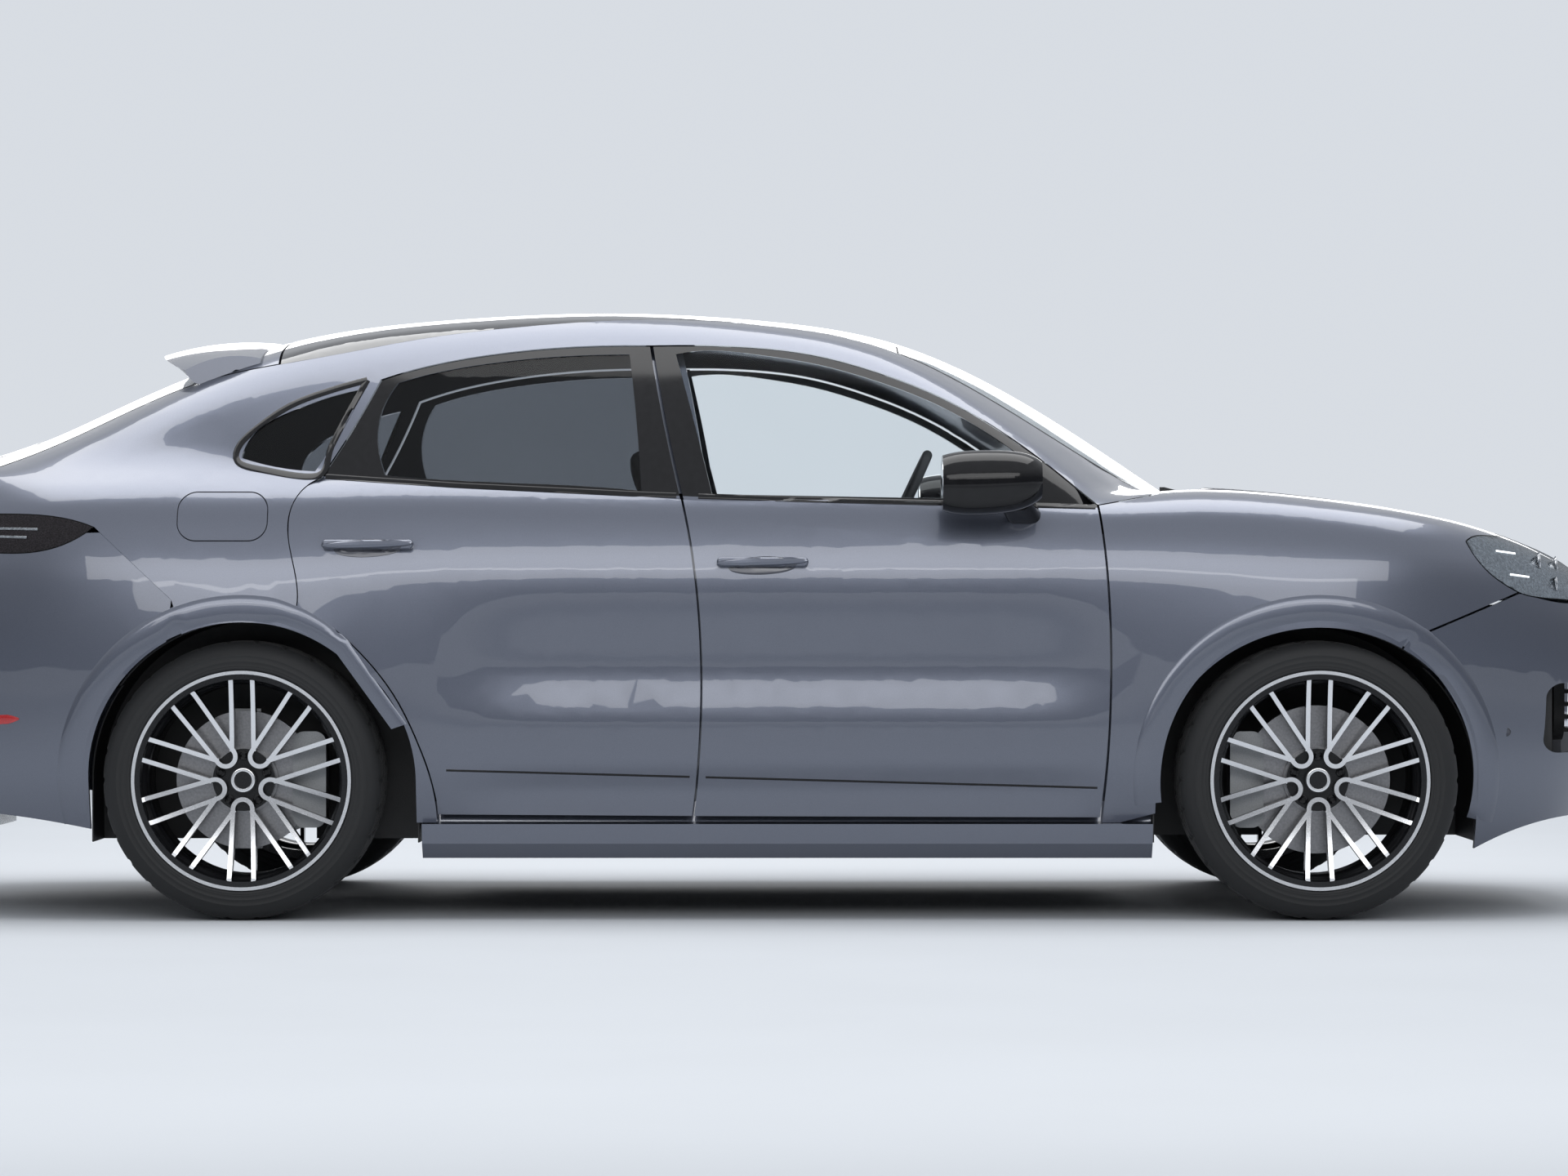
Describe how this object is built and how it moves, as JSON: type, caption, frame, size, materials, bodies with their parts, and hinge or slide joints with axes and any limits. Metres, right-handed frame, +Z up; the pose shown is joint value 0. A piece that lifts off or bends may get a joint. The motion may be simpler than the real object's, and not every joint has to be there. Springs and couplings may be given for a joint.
{
  "type": "coupe sport utility vehicle",
  "caption": "Five-door coupe sport utility vehicle with opening doors, hood, tailgate and flaps, steering front wheels and rolling multi-spoke wheels.",
  "frame": {"origin": "on the ground, midway along and across the car", "axes": "+X forward, +Y to the car's left, +Z up"},
  "size_m": [4.9649, 2.3306, 1.6831],
  "materials": {
    "body_paint": "gloss",
    "gloss_black": "gloss",
    "black_plastic": "matte",
    "interior_plastic": "matte",
    "seat_leather": "satin",
    "underbody": "matte",
    "engine_metal": "matte",
    "clear_glass": "gloss",
    "tinted_glass": "gloss",
    "lamp_lens": "gloss",
    "tail_lens": "gloss",
    "tyre_rubber": "matte",
    "rim_alloy": "machined",
    "brake_iron": "machined"
  },
  "bodies": {
    "car_body": {"body_frame_left": "body_paint", "body_frame_right": "body_paint", "body_side_left": "body_paint", "body_side_right": "body_paint", "cowl": "black_plastic", "dashboard": "interior_plastic", "engine_block": "engine_metal", "exhaust": "engine_metal", "floor_pan": "underbody", "front_bumper": "body_paint", "front_fender_left": "body_paint", "front_fender_right": "body_paint", "front_grille": "black_plastic", "front_seats": "seat_leather", "front_structure": "underbody", "front_subframe": "underbody", "headlamps": "lamp_lens", "quarter_glass": "tinted_glass", "rear_axle": "underbody", "rear_bumper": "body_paint", "rear_seat": "seat_leather", "roof_frame": "underbody", "roof_glass": "tinted_glass", "tail_lamps": "tail_lens", "wheel_arch_liners": "black_plastic", "windshield": "clear_glass", "wipers": "black_plastic"},
    "front_door_left": {"front_door_left": "body_paint", "front_window_left": "clear_glass", "door_mirror_left": "gloss_black"},
    "front_door_right": {"front_door_right": "body_paint", "front_window_right": "clear_glass", "door_mirror_right": "gloss_black"},
    "rear_door_left": {"rear_door_left": "body_paint", "rear_door_window_left": "tinted_glass"},
    "rear_door_right": {"rear_door_right": "body_paint", "rear_door_window_right": "tinted_glass"},
    "hood": {"hood": "body_paint"},
    "tailgate": {"tailgate": "body_paint", "rear_window": "tinted_glass", "rear_spoiler": "body_paint"},
    "fuel_flap": {"fuel_flap": "body_paint"},
    "charge_flap": {"charge_flap": "body_paint"},
    "steering_wheel": {"steering_wheel": "interior_plastic"},
    "knuckle_left": {"front_knuckle_left": "underbody"},
    "knuckle_right": {"front_knuckle_right": "underbody"},
    "front_wheel_left": {"front_tyre_left": "tyre_rubber", "front_rim_left": "rim_alloy", "front_brake_disc_left": "brake_iron"},
    "rear_wheel_left": {"rear_tyre_left": "tyre_rubber", "rear_rim_left": "rim_alloy", "rear_brake_disc_left": "brake_iron"},
    "front_wheel_right": {"front_tyre_right": "tyre_rubber", "front_rim_right": "rim_alloy", "front_brake_disc_right": "brake_iron"},
    "rear_wheel_right": {"rear_tyre_right": "tyre_rubber", "rear_rim_right": "rim_alloy", "rear_brake_disc_right": "brake_iron"}
  },
  "joints": [
    {"name": "front_door_right_hinge", "type": "hinge", "parent": "car_body", "child": "front_door_right", "pos_m": [0.94, -0.94, 0.7], "axis": [0, 0, 1], "range_deg": [0, 68]},
    {"name": "rear_door_right_hinge", "type": "hinge", "parent": "car_body", "child": "rear_door_right", "pos_m": [-0.162, -0.94, 0.7], "axis": [0, 0, 1], "range_deg": [0, 68]},
    {"name": "steer_right", "type": "hinge", "parent": "car_body", "child": "knuckle_right", "pos_m": [1.552, -0.77, 0.376], "axis": [0, 0, 1], "range_deg": [-35, 35]},
    {"name": "front_wheel_right_spin", "type": "hinge", "parent": "knuckle_right", "child": "front_wheel_right", "pos_m": [1.552, -0.84, 0.376], "axis": [0, 1, 0], "continuous": true},
    {"name": "rear_wheel_right_spin", "type": "hinge", "parent": "car_body", "child": "rear_wheel_right", "pos_m": [-1.343, -0.84, 0.376], "axis": [0, 1, 0], "continuous": true},
    {"name": "front_door_left_hinge", "type": "hinge", "parent": "car_body", "child": "front_door_left", "pos_m": [0.94, 0.94, 0.7], "axis": [0, 0, -1], "range_deg": [0, 68]},
    {"name": "rear_door_left_hinge", "type": "hinge", "parent": "car_body", "child": "rear_door_left", "pos_m": [-0.162, 0.94, 0.7], "axis": [0, 0, -1], "range_deg": [0, 68]},
    {"name": "steer_left", "type": "hinge", "parent": "car_body", "child": "knuckle_left", "pos_m": [1.552, 0.77, 0.376], "axis": [0, 0, 1], "range_deg": [-35, 35]},
    {"name": "front_wheel_left_spin", "type": "hinge", "parent": "knuckle_left", "child": "front_wheel_left", "pos_m": [1.552, 0.84, 0.376], "axis": [0, 1, 0], "continuous": true},
    {"name": "rear_wheel_left_spin", "type": "hinge", "parent": "car_body", "child": "rear_wheel_left", "pos_m": [-1.343, 0.84, 0.376], "axis": [0, 1, 0], "continuous": true},
    {"name": "hood_hinge", "type": "hinge", "parent": "car_body", "child": "hood", "pos_m": [1.225, 0, 1.172], "axis": [0, -1, 0], "range_deg": [0, 50]},
    {"name": "tailgate_hinge", "type": "hinge", "parent": "car_body", "child": "tailgate", "pos_m": [-1.283, 0, 1.622], "axis": [0, 1, 0], "range_deg": [0, 75]},
    {"name": "fuel_flap_hinge", "type": "hinge", "parent": "car_body", "child": "fuel_flap", "pos_m": [-1.283, -0.975, 1.086], "axis": [0, 0, 1], "range_deg": [0, 80]},
    {"name": "charge_flap_hinge", "type": "hinge", "parent": "car_body", "child": "charge_flap", "pos_m": [-1.283, 0.975, 1.086], "axis": [0, 0, -1], "range_deg": [0, 80]},
    {"name": "steering_wheel_turn", "type": "hinge", "parent": "car_body", "child": "steering_wheel", "pos_m": [0.462, 0.37, 1.13], "axis": [-0.9063, 0, 0.4226], "range_deg": [-490, 490]}
  ],
  "couplings": [
    {"joint": "steer_left", "follows": "steer_right", "ratio": 1},
    {"joint": "steering_wheel_turn", "follows": "steer_right", "ratio": 14}
  ]
}
